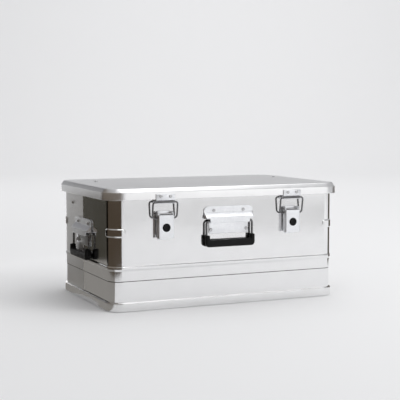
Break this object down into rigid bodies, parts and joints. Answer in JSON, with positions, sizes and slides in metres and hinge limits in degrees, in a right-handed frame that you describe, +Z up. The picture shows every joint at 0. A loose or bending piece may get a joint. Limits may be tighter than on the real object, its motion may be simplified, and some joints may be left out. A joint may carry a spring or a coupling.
{
  "type": "aluminium transport case",
  "caption": "Rectangular sheet-aluminium transport case with rounded corners, hinged overhanging lid, bail toggle latches and drop handles.",
  "frame": {"origin": "middle of the footprint, on the surface that the case stands on", "axes": "+Z up, -Y out of the front face with the latches, +X along the front"},
  "size_m": [0.593, 0.3953, 0.2721],
  "materials": {
    "sheet_aluminium": "mill finish, fine rolling grain, semi-bright",
    "rim_aluminium": "extruded, satin",
    "plate_steel": "zinc plated, satin",
    "wire_steel": "zinc plated, bright",
    "rivet_metal": "bright heads",
    "black_plastic": "moulded, fine grain",
    "seal_rubber": "soft matt",
    "stay_webbing": "woven tape"
  },
  "bodies": {
    "case": {"body_front_sheet": "sheet_aluminium", "body_rear_sheet": "sheet_aluminium", "base_pan": "sheet_aluminium", "base_rim": "rim_aluminium", "mouth_frame": "rim_aluminium", "front_handle_plate": "plate_steel", "front_handle_rivets": "rivet_metal", "left_handle_plate": "plate_steel", "left_handle_rivets": "rivet_metal", "right_handle_plate": "plate_steel", "right_handle_rivets": "rivet_metal", "left_latch_base": "plate_steel", "left_latch_rivets": "rivet_metal", "left_latch_pin": "rivet_metal", "right_latch_base": "plate_steel", "right_latch_rivets": "rivet_metal", "right_latch_pin": "rivet_metal", "left_hinge_body_leaf": "plate_steel", "left_hinge_pin": "wire_steel", "left_hinge_body_rivets": "rivet_metal", "right_hinge_body_leaf": "plate_steel", "right_hinge_pin": "wire_steel", "right_hinge_body_rivets": "rivet_metal", "left_stay_wall_rivet": "rivet_metal", "left_stay_strap": "stay_webbing", "right_stay_wall_rivet": "rivet_metal", "right_stay_strap": "stay_webbing"},
    "lid": {"lid_panel": "sheet_aluminium", "lid_hem": "rim_aluminium", "lid_seal": "seal_rubber", "left_catch": "plate_steel", "left_catch_rivets": "rivet_metal", "right_catch": "plate_steel", "right_catch_rivets": "rivet_metal", "left_hinge_lid_leaf": "plate_steel", "left_hinge_lid_rivets": "rivet_metal", "right_hinge_lid_leaf": "plate_steel", "right_hinge_lid_rivets": "rivet_metal", "left_stay_lid_rivet": "rivet_metal", "right_stay_lid_rivet": "rivet_metal"},
    "front_handle": {"front_handle_bail": "wire_steel", "front_handle_grip": "black_plastic"},
    "left_handle": {"left_handle_bail": "wire_steel", "left_handle_grip": "black_plastic"},
    "right_handle": {"right_handle_bail": "wire_steel", "right_handle_grip": "black_plastic"},
    "left_lever": {"left_latch_lever": "plate_steel", "left_latch_plug": "black_plastic"},
    "left_bail": {"left_latch_bail": "wire_steel"},
    "right_lever": {"right_latch_lever": "plate_steel", "right_latch_plug": "black_plastic"},
    "right_bail": {"right_latch_bail": "wire_steel"}
  },
  "joints": [
    {"name": "lid_hinge", "type": "hinge", "parent": "case", "child": "lid", "pos_m": [0, 0.1926, 0.2385], "axis": [-1, 0, 0], "range_deg": [0, 95]},
    {"name": "front_handle_hinge", "type": "hinge", "parent": "case", "child": "front_handle", "pos_m": [0, -0.1853, 0.192], "axis": [-1, 0, 0], "range_deg": [0, 90]},
    {"name": "left_handle_hinge", "type": "hinge", "parent": "case", "child": "left_handle", "pos_m": [-0.287, 0.0125, 0.1576], "axis": [0, 1, 0], "range_deg": [0, 90]},
    {"name": "right_handle_hinge", "type": "hinge", "parent": "case", "child": "right_handle", "pos_m": [0.287, 0.0125, 0.1576], "axis": [0, -1, 0], "range_deg": [0, 90]},
    {"name": "left_lever_pivot", "type": "hinge", "parent": "case", "child": "left_lever", "pos_m": [-0.158, -0.1863, 0.2125], "axis": [-1, 0, 0], "range_deg": [0, 115]},
    {"name": "left_bail_pivot", "type": "hinge", "parent": "left_lever", "child": "left_bail", "pos_m": [-0.158, -0.1853, 0.2035], "axis": [-1, 0, 0], "range_deg": [-150, 0]},
    {"name": "right_lever_pivot", "type": "hinge", "parent": "case", "child": "right_lever", "pos_m": [0.158, -0.1863, 0.2125], "axis": [-1, 0, 0], "range_deg": [0, 115]},
    {"name": "right_bail_pivot", "type": "hinge", "parent": "right_lever", "child": "right_bail", "pos_m": [0.158, -0.1853, 0.2035], "axis": [-1, 0, 0], "range_deg": [-150, 0]}
  ],
  "couplings": [
    {"joint": "left_bail_pivot", "follows": "left_lever_pivot", "ratio": -1.3},
    {"joint": "right_bail_pivot", "follows": "right_lever_pivot", "ratio": -1.3}
  ]
}
